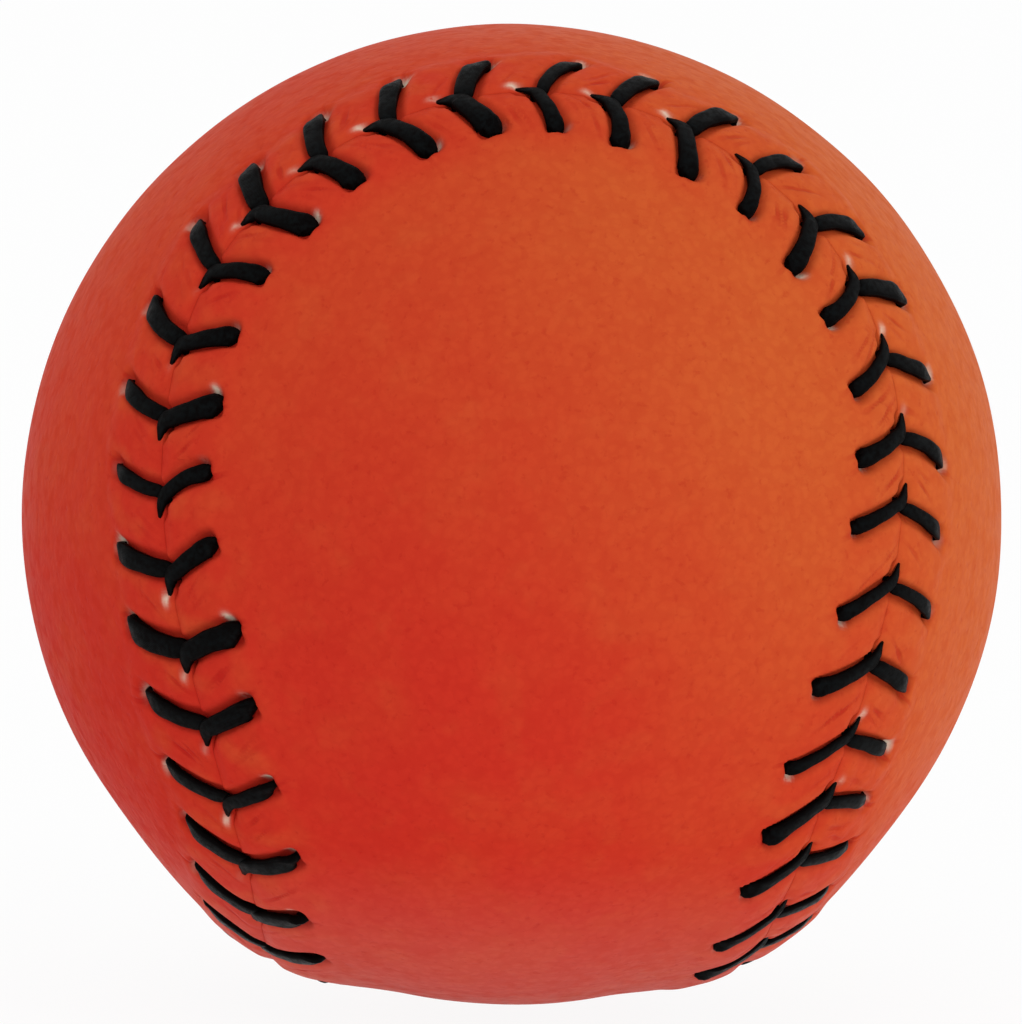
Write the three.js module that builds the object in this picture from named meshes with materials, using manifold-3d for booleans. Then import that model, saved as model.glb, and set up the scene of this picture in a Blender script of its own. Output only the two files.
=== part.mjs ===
// Rounders ball: a cork centre, a thick wool winding and a thin cotton winding, covered by two
// figure-eight leather panels that are sewn edge to edge with two black waxed threads.
//
// Millimetres, +Z up, origin at the centre of the ball. The front panel has its lobes at -Y and
// +Y and its waist at -Z. The side panel has its lobes at -X and +X and its waist at +Z.

import * as THREE from "three";
import { mergeVertices } from "three/addons/utils/BufferGeometryUtils.js";
import Module from "manifold-3d";

const wasm = await Module();
wasm.setup();

// Cover
const BALL_DIAMETER = 60; // over the lobes of the panels
const LEATHER_THICKNESS = 1.3;
const WAIST_WIDTH = 28.3; // across a panel where it is narrowest, along the ball
const LOBE_SWING = 0.366; // radians, how far the seam swings round the lobes
const RIDGE_HEIGHT = 1.2; // the sewn edges stand this far above the lobes
const RIDGE_CROWN = 1.5; // from the seam to where the ridge starts to fall
const RIDGE_FOOT = 10.5; // from the seam to where the ridge has died away
const SEAM_GAP = 0.5; // between the cut edges of the two panels

// Stitching
const STITCH_COUNT = 70;
const STITCH_INSET = 4.4; // from the seam to the middle of a needle hole
const STITCH_LEAN = 1.7; // how far the holes of a stitch lie behind its point
const THREAD_DIAMETER = 1.1;
const THREAD_CLEARANCE = 0.2;

// Core
const CORK_DIAMETER = 22;
const COTTON_THICKNESS = 1.5;
const LAYER_CLEARANCE = 0.3;
const TIE_OFF_BORE = 2; // where the needle took the end of the yarn into the ball

// Facets
const PANEL_ROWS = 32;
const PANEL_FACET = 4.5;
const THREAD_SIDES = 5;
const BORE_SIDES = 8;

const BALL_RADIUS = BALL_DIAMETER / 2;
const THREAD_RADIUS = THREAD_DIAMETER / 2;
const HOLE_HALF_WIDTH = THREAD_RADIUS + THREAD_CLEARANCE;
const DIP_OFFSET = THREAD_RADIUS + 2 * THREAD_CLEARANCE;

// The seam is one closed line on the ball, the same seen from each panel's side. It runs in the
// direction of sewing, with the front panel on its left.
class SeamCurve extends THREE.Curve {
  getPoint(turn, target = new THREE.Vector3()) {
    const angle = -4 * Math.PI * turn;
    const waist = WAIST_WIDTH / BALL_DIAMETER;
    const polar = Math.PI / 2 - (Math.PI / 2 - waist) * Math.cos(angle);
    const around = angle / 2 + LOBE_SWING * Math.sin(2 * angle);
    const reach = Math.sin(polar);
    target.set(reach * Math.cos(around), reach * Math.sin(around), -Math.cos(polar));
    return target.multiplyScalar(BALL_RADIUS);
  }
}

const seam = new SeamCurve();
seam.arcLengthDivisions = 4000;
const SEAM_LENGTH = seam.getLength();
const STITCH_PITCH = SEAM_LENGTH / STITCH_COUNT;

// A direction from the centre of the ball: so far along the seam, then so far off it at right
// angles (positive on the front panel), then so far forward beside it.
function direction(along, offset = 0, forward = 0) {
  const turn = THREE.MathUtils.euclideanModulo(along / SEAM_LENGTH, 1);
  const outward = seam.getPointAt(turn).normalize();
  const ahead = seam.getTangentAt(turn);
  const sideways = outward.clone().cross(ahead);
  const across = offset / BALL_RADIUS;
  const onward = forward / BALL_RADIUS;
  outward.multiplyScalar(Math.cos(across)).addScaledVector(sideways, Math.sin(across));
  return outward.multiplyScalar(Math.cos(onward)).addScaledVector(ahead, Math.sin(onward));
}

// 1 near the seam, falling smoothly to 0 away from it
const fade = (distance, from, to) => 1 - THREE.MathUtils.smoothstep(distance, from, to);

const coverRadius = (distance) =>
  BALL_RADIUS + RIDGE_HEIGHT * fade(distance, RIDGE_CROWN, RIDGE_FOOT);
const threadOver = (distance) => coverRadius(distance) + THREAD_CLEARANCE + THREAD_RADIUS;
const threadUnder = (distance) =>
  coverRadius(distance) - LEATHER_THICKNESS - THREAD_CLEARANCE - THREAD_RADIUS;

// Each stitch has its point on the seam and a needle hole in each panel. Its two legs go down
// between the edges just behind the point and just past it, the front panel's leg past it.
const stitches = Array.from({ length: STITCH_COUNT }, (_, i) => {
  const point = (i + 0.5) * STITCH_PITCH;
  return { point, hole: point - STITCH_LEAN };
});

// Triangles between two lines of vertices that run the same way. Each vertex has its place
// along the line as `at`, and the triangles go forward by whichever line is behind.
function zip(near, far) {
  const triangles = [];
  let i = 0;
  let j = 0;
  while (i < near.length - 1 || j < far.length - 1) {
    const stepNear = i < near.length - 1 ? near[i + 1].at : Infinity;
    const stepFar = j < far.length - 1 ? far[j + 1].at : Infinity;
    if (stepNear <= stepFar) {
      triangles.push([near[i].id, near[i + 1].id, far[j].id]);
      i += 1;
    } else {
      triangles.push([near[i].id, far[j + 1].id, far[j].id]);
      j += 1;
    }
  }
  return triangles;
}

// The outer face of a panel as directions, radii and triangles. Rings of vertices follow the
// seam at the cut edge, on both sides of the needle holes and at the foot of the ridge, and
// rows across the panel fill the middle.
function panelFace(side, tip) {
  const vertices = [];
  const triangles = [];
  const addVertex = (dir, radius) => vertices.push({ dir, radius }) - 1;
  const ring = (points) => {
    const line = points
      .map(({ along, inset, forward = 0, open = false }) => ({
        at: THREE.MathUtils.euclideanModulo(along + forward, SEAM_LENGTH),
        id: addVertex(direction(along, side * inset, forward), coverRadius(inset)),
        open,
      }))
      .sort((a, b) => a.at - b.at);
    return [...line, { ...line[0], at: line[0].at + SEAM_LENGTH }];
  };

  // The cut edge, eased back where the legs of a stitch go down and close between stitches
  const edge = ring(
    stitches.flatMap(({ point }) => [
      { along: point - DIP_OFFSET - HOLE_HALF_WIDTH, inset: HOLE_HALF_WIDTH },
      { along: point + DIP_OFFSET + HOLE_HALF_WIDTH, inset: HOLE_HALF_WIDTH },
      { along: point + STITCH_PITCH / 2, inset: SEAM_GAP / 2 },
    ]),
  );

  // Both sides of the needle holes, with the holes left open
  const besideHoles = (inset) =>
    ring(
      stitches.flatMap(({ hole }) => [
        { along: hole, inset, forward: -HOLE_HALF_WIDTH, open: true },
        { along: hole, inset, forward: HOLE_HALF_WIDTH },
      ]),
    );
  const holesNear = besideHoles(STITCH_INSET - HOLE_HALF_WIDTH);
  const holesFar = besideHoles(STITCH_INSET + HOLE_HALF_WIDTH);
  for (let i = 0; i < holesNear.length - 1; i += 1) {
    if (!holesNear[i].open) {
      triangles.push(...zip(holesNear.slice(i, i + 2), holesFar.slice(i, i + 2)));
    }
  }
  triangles.push(...zip(edge, holesNear));

  // The flank of the ridge, down to its foot. Vertex k of a ring lies opposite vertex last - k,
  // across the panel.
  const step = SEAM_LENGTH / (2 * PANEL_ROWS);
  const ridgeRing = (inset) =>
    ring(Array.from({ length: 2 * PANEL_ROWS }, (_, k) => ({ along: tip + (k + 0.5) * step, inset })));
  const flank = ridgeRing((STITCH_INSET + HOLE_HALF_WIDTH + RIDGE_FOOT) / 2);
  const firstFoot = vertices.length;
  const foot = ridgeRing(RIDGE_FOOT);
  triangles.push(...zip(holesFar, flank), ...zip(flank, foot));

  // Rows across the middle, from the left edge to the right
  const rows = Array.from({ length: PANEL_ROWS }, (_, k) => {
    const left = firstFoot + k;
    const right = firstFoot + 2 * PANEL_ROWS - 1 - k;
    const from = vertices[left].dir;
    const to = vertices[right].dir;
    const angle = from.angleTo(to);
    const atEnd = k === 0 || k === PANEL_ROWS - 1;
    const facets = atEnd ? 1 : Math.max(1, Math.round((angle * BALL_RADIUS) / PANEL_FACET));
    const axis = from.clone().cross(to).normalize();
    const middle = Array.from({ length: facets - 1 }, (_, m) => ({
      at: (m + 1) / facets,
      id: addVertex(from.clone().applyAxisAngle(axis, (angle * (m + 1)) / facets), BALL_RADIUS),
    }));
    return [{ at: 0, id: left }, ...middle, { at: 1, id: right }];
  });
  for (let k = 0; k < rows.length - 1; k += 1) {
    triangles.push(...zip(rows[k + 1], rows[k]));
  }
  return { vertices, triangles };
}

function geometryOf(points, triangles) {
  const geometry = new THREE.BufferGeometry();
  geometry.setAttribute("position", new THREE.Float32BufferAttribute(points.flatMap((p) => [...p]), 3));
  geometry.setIndex(triangles.flat());
  geometry.computeVertexNormals();
  return geometry;
}

// A leather panel: the outer face, an inner face under it, and a wall along every free edge,
// which are the cut edge and the sides of the needle holes.
function coverPanel(side, tip) {
  const { vertices, triangles } = panelFace(side, tip);
  const outside = side > 0 ? triangles : triangles.map(([a, b, c]) => [a, c, b]);
  const count = vertices.length;
  const points = [
    ...vertices.map(({ dir, radius }) => dir.clone().multiplyScalar(radius)),
    ...vertices.map(({ dir, radius }) => dir.clone().multiplyScalar(radius - LEATHER_THICKNESS)),
  ];
  const edges = outside.flatMap(([a, b, c]) => [[a, b], [b, c], [c, a]]);
  const used = new Set(edges.map(([a, b]) => `${a} ${b}`));
  const free = edges.filter(([a, b]) => !used.has(`${b} ${a}`));
  const inside = outside.map(([a, b, c]) => [c + count, b + count, a + count]);
  const walls = free.flatMap(([a, b]) => [
    [b, a, a + count],
    [b, a + count, b + count],
  ]);
  return geometryOf(points, [...outside, ...inside, ...walls]);
}

// The middle line of one sewing thread. It comes up through a hole of one panel, crosses to the
// seam, goes down between the edges, and passes under the other panel to that panel's next hole.
function threadPath(startSide) {
  const path = stitches.flatMap(({ point, hole }, i) => {
    const side = i % 2 === 0 ? startSide : -startSide;
    const down = point + side * DIP_OFFSET;
    const half = (hole + down) / 2;
    const at = (along, inset, radius) => direction(along, side * inset).multiplyScalar(radius);
    return [
      at(hole, STITCH_INSET, threadUnder(STITCH_INSET)),
      at(hole, STITCH_INSET, threadOver(STITCH_INSET)),
      at(half, STITCH_INSET / 2, threadOver(STITCH_INSET / 2)),
      at(down, 0, threadOver(0)),
      at(down, 0, threadUnder(0)),
    ];
  });
  // Both ends are trimmed under the leather, short of each other
  const tail = 2 * THREAD_DIAMETER;
  const firstHole = path[0];
  const lastDip = path[path.length - 1];
  const pull = firstHole.clone().sub(lastDip).setLength(tail);
  return [firstHole.clone().sub(pull), ...path, lastDip.clone().add(pull)];
}

// A tube round a line of points, mitred where the line turns
function mitredTube(path, radius, sides) {
  const heading = path.slice(1).map((p, i) => p.clone().sub(path[i]).normalize());
  const spoke = new THREE.Vector3().crossVectors(heading[0], path[0]).setLength(radius);
  let spokes = Array.from({ length: sides }, (_, k) =>
    spoke.clone().applyAxisAngle(heading[0], (2 * Math.PI * k) / sides),
  );
  const points = [];
  path.forEach((p, i) => {
    const before = heading[Math.max(i - 1, 0)];
    const after = heading[Math.min(i, heading.length - 1)];
    const mitre = before.clone().add(after).normalize();
    spokes.forEach((s) => {
      const slide = s.dot(mitre) / before.dot(mitre);
      points.push(p.clone().add(s).addScaledVector(before, -slide));
    });
    const turn = new THREE.Quaternion().setFromUnitVectors(before, after);
    spokes = spokes.map((s) => s.clone().applyQuaternion(turn));
  });
  const triangles = [];
  for (let i = 0; i < path.length - 1; i += 1) {
    for (let k = 0; k < sides; k += 1) {
      const a = i * sides + k;
      const b = i * sides + ((k + 1) % sides);
      triangles.push([a, b, b + sides], [a, b + sides, a + sides]);
    }
  }
  const end = (path.length - 1) * sides;
  for (let k = 1; k < sides - 1; k += 1) {
    triangles.push([0, k + 1, k], [end, end + k, end + k + 1]);
  }
  return geometryOf(points, triangles);
}

// Solids for cutting, from and to three.js geometry
function solid(geometry) {
  const bare = geometry.clone();
  bare.deleteAttribute("normal");
  bare.deleteAttribute("uv");
  const merged = mergeVertices(bare, 1e-4);
  return new wasm.Manifold(
    new wasm.Mesh({
      numProp: 3,
      vertProperties: merged.attributes.position.array,
      triVerts: Uint32Array.from(merged.index.array),
    }),
  );
}

function geometryFrom(manifold) {
  const { vertProperties, triVerts } = manifold.getMesh();
  const geometry = new THREE.BufferGeometry();
  geometry.setAttribute("position", new THREE.BufferAttribute(vertProperties, 3));
  geometry.setIndex(new THREE.BufferAttribute(triVerts, 1));
  geometry.computeVertexNormals();
  return geometry;
}

// The windings. Under the stitches the outer one lies deeper, in a bed that clears the threads.
const WINDING_RADIUS = BALL_RADIUS - LEATHER_THICKNESS - LAYER_CLEARANCE;
const BED_RADIUS = threadUnder(STITCH_INSET) - THREAD_RADIUS - THREAD_CLEARANCE;
const BED_HALF_WIDTH = STITCH_INSET + HOLE_HALF_WIDTH + LAYER_CLEARANCE;
const COTTON_BORE_RADIUS = WINDING_RADIUS - COTTON_THICKNESS;
const WOOL_RADIUS = COTTON_BORE_RADIUS - LAYER_CLEARANCE;
const CORK_RADIUS = CORK_DIAMETER / 2;
const WOOL_BORE_RADIUS = CORK_RADIUS + LAYER_CLEARANCE;

const seamPoints = seam.getSpacedPoints(4 * STITCH_COUNT).map((p) => p.normalize());
const seamDistance = (dir) => BALL_RADIUS * Math.acos(Math.max(...seamPoints.map((p) => p.dot(dir))));

function beddedBall(detail) {
  const ball = mergeVertices(new THREE.IcosahedronGeometry(1, detail).deleteAttribute("uv"), 1e-4);
  const { position } = ball.attributes;
  for (let i = 0; i < position.count; i += 1) {
    const dir = new THREE.Vector3().fromBufferAttribute(position, i).normalize();
    const bed = fade(seamDistance(dir), BED_HALF_WIDTH, RIDGE_FOOT);
    dir.multiplyScalar(THREE.MathUtils.lerp(WINDING_RADIUS, BED_RADIUS, bed));
    position.setXYZ(i, dir.x, dir.y, dir.z);
  }
  return ball;
}

function tieOffBore() {
  const bore = new THREE.CylinderGeometry(TIE_OFF_BORE / 2, TIE_OFF_BORE / 2, BALL_RADIUS, BORE_SIDES);
  return bore.rotateX(Math.PI / 2).translate(0, 0, BALL_RADIUS / 2 + CORK_RADIUS / 2);
}

const roundBall = (radius, detail) => new THREE.IcosahedronGeometry(radius, detail);
const shell = (outer, inner) =>
  geometryFrom(solid(outer).subtract(solid(inner)).subtract(solid(tieOffBore())));

// The least gap between two runs of thread, from points along their middle lines. Points of one
// thread that follow each other within a stitch's length aren't compared.
function leastGap(first, second) {
  const finely = (path) =>
    path.slice(1).flatMap((p, i) => [0, 0.25, 0.5, 0.75].map((f) => path[i].clone().lerp(p, f)));
  const a = finely(first);
  const b = finely(second);
  const apart = first === second ? 16 : 0;
  let least = Infinity;
  a.forEach((p, i) => {
    b.forEach((q, j) => {
      if (first !== second || Math.abs(i - j) > apart) least = Math.min(least, p.distanceTo(q));
    });
  });
  return least - THREAD_DIAMETER;
}

const paths = [threadPath(1), threadPath(-1)];
console.log("least gap of a thread to itself, mm:", leastGap(paths[0], paths[0]).toFixed(2));
console.log("least gap between the threads, mm:", leastGap(paths[0], paths[1]).toFixed(2));

const leather = { color: 0xc8452c, roughness: 0.55, metalness: 0 };
const waxedThread = { color: 0x1b0d0d, roughness: 0.5, metalness: 0 };
const cotton = { color: 0xe4dccb, roughness: 0.9, metalness: 0 };
const wool = { color: 0xb7ab98, roughness: 0.95, metalness: 0 };
const cork = { color: 0xb58a5a, roughness: 0.9, metalness: 0 };

const ball = new THREE.Group();
ball.name = "rounders_ball";

function addPiece(name, geometry, finish) {
  const piece = new THREE.Mesh(geometry, new THREE.MeshStandardMaterial(finish));
  piece.name = name;
  ball.add(piece);
}

addPiece("cork_centre", roundBall(CORK_RADIUS, 2), cork);
addPiece("wool_winding", shell(roundBall(WOOL_RADIUS, 3), roundBall(WOOL_BORE_RADIUS, 2)), wool);
addPiece("cotton_winding", shell(beddedBall(5), roundBall(COTTON_BORE_RADIUS, 3)), cotton);
addPiece("front_cover_panel", coverPanel(1, SEAM_LENGTH / 4), leather);
addPiece("side_cover_panel", coverPanel(-1, 0), leather);
addPiece("sewing_thread_1", mitredTube(paths[0], THREAD_RADIUS, THREAD_SIDES), waxedThread);
addPiece("sewing_thread_2", mitredTube(paths[1], THREAD_RADIUS, THREAD_SIDES), waxedThread);

export default ball;
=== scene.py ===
# %% [markdown]
# # A hand-sewn rounders ball
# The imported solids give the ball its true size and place. This lesson dresses them: the leather
# cover with its puckered seam, the waxed thread that sews it, and the wound core that nobody
# sees. Everything is worked out in millimetres and put into the mesh in metres.

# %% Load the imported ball
import math

import bpy
import numpy as np
from mathutils import Matrix, Quaternion, Vector


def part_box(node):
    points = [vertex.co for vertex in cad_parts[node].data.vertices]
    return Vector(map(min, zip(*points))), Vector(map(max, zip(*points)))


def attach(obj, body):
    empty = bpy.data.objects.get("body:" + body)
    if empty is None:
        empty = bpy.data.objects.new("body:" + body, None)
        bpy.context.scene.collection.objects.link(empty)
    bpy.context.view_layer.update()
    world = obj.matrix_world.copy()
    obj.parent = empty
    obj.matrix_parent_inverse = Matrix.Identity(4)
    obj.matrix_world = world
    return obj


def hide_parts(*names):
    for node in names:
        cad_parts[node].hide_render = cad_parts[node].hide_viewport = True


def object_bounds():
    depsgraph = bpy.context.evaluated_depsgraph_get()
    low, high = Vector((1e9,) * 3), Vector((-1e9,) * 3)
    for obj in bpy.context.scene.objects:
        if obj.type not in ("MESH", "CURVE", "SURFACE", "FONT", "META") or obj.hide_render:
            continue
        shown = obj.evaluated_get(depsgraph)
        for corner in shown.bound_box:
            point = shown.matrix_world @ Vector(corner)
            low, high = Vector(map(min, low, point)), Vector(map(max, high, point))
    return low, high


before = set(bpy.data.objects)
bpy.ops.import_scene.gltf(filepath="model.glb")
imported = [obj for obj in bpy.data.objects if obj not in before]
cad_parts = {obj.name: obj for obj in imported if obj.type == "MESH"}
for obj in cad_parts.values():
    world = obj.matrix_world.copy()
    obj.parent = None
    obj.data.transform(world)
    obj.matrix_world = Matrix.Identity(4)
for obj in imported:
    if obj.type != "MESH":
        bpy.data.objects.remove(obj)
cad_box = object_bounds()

MM = 0.001
print("solids:", sorted(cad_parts))

# %% [markdown]
# ## The seam
# The cover is two figure-eight panels of the same cut, turned a quarter round from each other, so
# one closed line on the ball is the edge of both. The line could be drawn by hand as a curve, but
# a short formula keeps the two panels alike. Every later piece is then placed by two numbers: how
# far along the seam, and how far off it to one side.

# %% The seam as a line on the ball
BALL_RADIUS = 30.0
HALF_WAIST = 14.15
LOBE_SWING = 0.366
SEAM_SAMPLES = 16001
FRONT, SIDE = 1, -1


def seam_line(count):
    turn = np.linspace(0, 1, count)
    angle = -4 * np.pi * turn
    polar = np.pi / 2 - (np.pi / 2 - HALF_WAIST / BALL_RADIUS) * np.cos(angle)
    around = angle / 2 + LOBE_SWING * np.sin(2 * angle)
    reach = np.sin(polar)
    return np.column_stack([reach * np.cos(around), reach * np.sin(around), -np.cos(polar)])


def unit(vectors):
    return vectors / np.linalg.norm(vectors, axis=-1, keepdims=True)


seam_dirs = seam_line(SEAM_SAMPLES)
steps = np.linalg.norm(np.diff(seam_dirs, axis=0), axis=1) * BALL_RADIUS
seam_at = np.concatenate([[0], np.cumsum(steps)])
SEAM_LENGTH = seam_at[-1]
seam_ahead = unit(np.gradient(seam_dirs, seam_at, axis=0))
seam_aside = np.cross(seam_dirs, seam_ahead)
seam_bend = np.sum(np.gradient(seam_ahead, seam_at, axis=0) * seam_aside, axis=1)
# The bend is poor at the two ends of the table, so they take their neighbours' bend.
seam_bend[:2], seam_bend[-2:] = seam_bend[2], seam_bend[-3]
print(f"seam {SEAM_LENGTH:.1f} mm long")

# %% Places by the seam
COARSE_STEP = 20


def along_seam(table, along):
    along = np.mod(along, SEAM_LENGTH)
    if table.ndim == 1:
        return np.interp(along, seam_at, table)
    return np.stack([np.interp(along, seam_at, column) for column in table.T], axis=-1)


def on_ball(along, offset):
    """Directions from the ball's centre, so far along the seam and so far off it."""
    across = np.asarray(offset)[..., None] / BALL_RADIUS
    outward = along_seam(seam_dirs, along)
    aside = along_seam(seam_aside, along)
    return unit(np.cos(across) * outward + np.sin(across) * aside)


def seam_distance(dirs):
    """How far each direction lies from the nearest point of the seam."""
    nearest = np.max(dirs @ seam_dirs[::COARSE_STEP].T, axis=1)
    return BALL_RADIUS * np.arccos(np.clip(nearest, -1, 1))


def seam_difference(a, b):
    """From b to a along the seam, the short way round."""
    return np.mod(a - b + SEAM_LENGTH / 2, SEAM_LENGTH) - SEAM_LENGTH / 2


def smooth(value, low, high):
    """A soft step from 0 at low to 1 at high."""
    x = np.clip((value - low) / (high - low), 0, 1)
    return x * x * (3 - 2 * x)


def hump(value, middle, half):
    """A soft bump that is 1 at the middle."""
    return np.exp(-(((value - middle) / half) ** 2))


print("at the start the seam points to", np.round(on_ball(0.0, 0.0), 3))

# %% [markdown]
# ## Camera
# The picture was taken from far off with a long lens, a little above the ball and almost square
# to the front panel. A camera could be moved into place by eye, but numbers can be checked. It is
# first set level in front of the ball, then turned by three small angles about its own axes and
# backed off along its own view line, with the ball a few pixels off the middle of the frame.

# %% Camera
CAMERA_DISTANCE = 30 * BALL_RADIUS * MM
CAMERA_TURN = Vector((-0.1260, -0.0569, 0.0192))
FRAME_HEIGHT = 1024
BALL_RADIUS_IN_PIXELS = 489.4
BALL_OFF_CENTRE = (0.9, -3.4)

camera_data = bpy.data.cameras.new("camera")
pixels_per_slope = BALL_RADIUS_IN_PIXELS * CAMERA_DISTANCE / (BALL_RADIUS * MM)
camera_data.lens = camera_data.sensor_width * pixels_per_slope / FRAME_HEIGHT
camera = bpy.data.objects.new("camera", camera_data)
bpy.context.collection.objects.link(camera)
turn = Quaternion(CAMERA_TURN.normalized(), CAMERA_TURN.length).to_matrix().to_4x4()
level = Matrix.Rotation(math.pi / 2, 4, "X")
pixel = BALL_RADIUS * MM / BALL_RADIUS_IN_PIXELS
sideways, upward = (-offset * pixel for offset in BALL_OFF_CENTRE)
camera.matrix_world = level @ turn @ Matrix.Translation((sideways, upward, CAMERA_DISTANCE))
bpy.context.scene.camera = camera
print(f"lens {camera_data.lens:.0f} mm at {camera.location.length:.2f} m")

# %% [markdown]
# ## Nodes by name
# Materials and Geometry Nodes are both trees of nodes, which could be placed by hand in Blender's
# editors. In a script, one helper adds a node, sets its options, and sets or links its inputs, so
# that a tree reads as a list of steps. A few more give the usual steps plain names.

# %% Node helpers


def add_node(tree, kind, inputs=None, **options):
    made = tree.nodes.new(kind)
    for name, value in options.items():
        setattr(made, name, value)
    for key, value in (inputs or {}).items():
        if isinstance(value, bpy.types.NodeSocket):
            tree.links.new(value, made.inputs[key])
        else:
            made.inputs[key].default_value = value
    return made


def calculate(tree, operation, a, b=0.0):
    return add_node(tree, "ShaderNodeMath", {0: a, 1: b}, operation=operation).outputs[0]


def times(tree, a, b):
    return calculate(tree, "MULTIPLY", a, b)


def plus(tree, a, b):
    return calculate(tree, "ADD", a, b)


def minus(tree, a, b):
    return calculate(tree, "SUBTRACT", a, b)


def remap(tree, value, low, high, to_low=0.0, to_high=1.0):
    inputs = {0: value, 1: low, 2: high, 3: to_low, 4: to_high}
    return add_node(tree, "ShaderNodeMapRange", inputs, interpolation_type="SMOOTHSTEP").outputs[0]


def scaled(tree, vector, factor):
    inputs = {0: vector, "Scale": factor}
    return add_node(tree, "ShaderNodeVectorMath", inputs, operation="SCALE").outputs[0]


print("node helpers ready")

# %% Material helpers


def mix_colour(tree, factor, a, b):
    return add_node(tree, "ShaderNodeMix", {0: factor, 6: a, 7: b}, data_type="RGBA").outputs[2]


def stained_and_shaded(tree, colour, mask, share, orange_share):
    """The colour, with a share of another one wherever the mask is."""
    return mix_colour(tree, times(tree, mask, share), colour, orange_share)


def noise(tree, place, scale, detail):
    inputs = {"Vector": place, "Scale": scale, "Detail": detail}
    return add_node(tree, "ShaderNodeTexNoise", inputs).outputs


def attribute(tree, name):
    return add_node(tree, "ShaderNodeAttribute", attribute_name=name).outputs["Fac"]


def new_material(name):
    material = bpy.data.materials.new(name)
    material.use_nodes = True
    tree = material.node_tree
    return material, tree, tree.nodes["Principled BSDF"]


def ball_material(name, shine):
    """A material with its shine set, and the place of each point in the ball's own frame."""
    material, tree, shader = new_material(name)
    shader.inputs["Specular IOR Level"].default_value = shine
    place = add_node(tree, "ShaderNodeTexCoord").outputs["Object"]
    return material, tree, shader, place


def dress(tree, shader, colour, roughness, relief, strength, depth, inward=False):
    """Links colour and roughness to the shader, and the relief as a bump so many mm deep."""
    inputs = {"Height": relief, "Strength": strength, "Distance": depth * MM}
    bump = add_node(tree, "ShaderNodeBump", inputs, invert=inward)
    finish = {"Base Color": colour, "Roughness": roughness, "Normal": bump.outputs[0]}
    for name, value in finish.items():
        tree.links.new(value, shader.inputs[name])


print("material helpers ready")

# %% [markdown]
# ## Effects that several finishes share
# Leather, yarn and cork are all a little patchy, and thread and yarn are both twisted from fibres.
# The nodes could be repeated in each material, but a shader group is built once and placed in
# every material that needs it with its own scale. A group gives only masks and heights, and the
# shader stays in the material.

# %% Shader groups
NOISE_DETAIL = 3.0
STRAND_HEIGHT = 0.35
FIBRE_INPUTS = ("Place", "Fuzz Scale", "Around", "Along", "Strands", "Lay Rate")


def shader_group(name, inputs, outputs):
    group = bpy.data.node_groups.new(name, "ShaderNodeTree")
    for label in inputs:
        kind = "NodeSocketVector" if label == "Place" else "NodeSocketFloat"
        group.interface.new_socket(name=label, in_out="INPUT", socket_type=kind)
    for label in outputs:
        group.interface.new_socket(name=label, in_out="OUTPUT", socket_type="NodeSocketFloat")
    given = group.nodes.new("NodeGroupInput").outputs
    sent = group.nodes.new("NodeGroupOutput").inputs
    return group, given, sent


mottle, given, sent = shader_group("mottle", ("Place", "Scale", "From", "To"), ("Share",))
cloud = noise(mottle, given["Place"], given["Scale"], NOISE_DETAIL)["Fac"]
mottle.links.new(remap(mottle, cloud, given["From"], given["To"]), sent["Share"])

twisted_fibre, given, sent = shader_group("twisted_fibre", FIBRE_INPUTS, ("Height", "Fuzz"))
fuzz = noise(twisted_fibre, given["Place"], given["Fuzz Scale"], NOISE_DETAIL)["Fac"]
laid = times(twisted_fibre, given["Along"], given["Lay Rate"])
twist = minus(twisted_fibre, times(twisted_fibre, given["Around"], given["Strands"]), laid)
strand = calculate(twisted_fibre, "SINE", times(twisted_fibre, twist, 2 * math.pi))
height = plus(twisted_fibre, times(twisted_fibre, strand, STRAND_HEIGHT), fuzz)
twisted_fibre.links.new(height, sent["Height"])
twisted_fibre.links.new(fuzz, sent["Fuzz"])
print("groups:", mottle.name, twisted_fibre.name)

# %% Groups placed in a material


def per_mm(size):
    """The scale of a texture on Object coordinates whose features are so many mm across."""
    return 1 / (size * MM)


def patches(tree, place, size, low, high):
    inputs = {"Place": place, "Scale": per_mm(size), "From": low, "To": high}
    return add_node(tree, "ShaderNodeGroup", inputs, node_tree=mottle).outputs["Share"]


def fibres(tree, place, fuzz_size, strands, lay_rate):
    inputs = {
        "Place": place,
        "Fuzz Scale": per_mm(fuzz_size),
        "Around": attribute(tree, "cord_around"),
        "Along": attribute(tree, "cord_along"),
        "Strands": strands,
        "Lay Rate": lay_rate,
    }
    return add_node(tree, "ShaderNodeGroup", inputs, node_tree=twisted_fibre).outputs


print("groups ready to place")

# %% [markdown]
# ## Floor, background and light
# A white sweep shows as plain white behind the ball. A white world alone would do for that, but
# then the ball would stand on nothing. So there is a floor: seen by the camera it is mostly a flat
# white, with a little of its shaded self left in so that the ball still throws a faint shadow.
# The light is an even white room with one large soft lamp to the right and above, a weaker one
# high at the front left, and a light table's faint glow from below and to the right, which keeps
# the underside from going dark.

# %% Floor
FLOOR_GAP = 0.2 * MM
FLOOR_Z = cad_box[0].z - FLOOR_GAP
FLOOR_HALF = 6.0
FLAT_WHITE_SHARE = 0.92


def seen_directly(tree, share):
    """The share where the camera, a reflection or a see-through surface looks at it, else 0."""
    path = add_node(tree, "ShaderNodeLightPath")
    seen = calculate(tree, "MAXIMUM", path.outputs["Is Camera Ray"], path.outputs["Is Glossy Ray"])
    seen = calculate(tree, "MAXIMUM", seen, path.outputs["Is Transmission Ray"])
    return times(tree, seen, share)


floor_mesh = bpy.data.meshes.new("floor")
corners = [(x * FLOOR_HALF, y * FLOOR_HALF, FLOOR_Z) for x, y in ((-1, -1), (1, -1), (1, 1), (-1, 1))]
floor_mesh.from_pydata(corners, [], [range(4)])
floor = bpy.data.objects.new("floor", floor_mesh)
bpy.context.collection.objects.link(floor)

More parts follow.
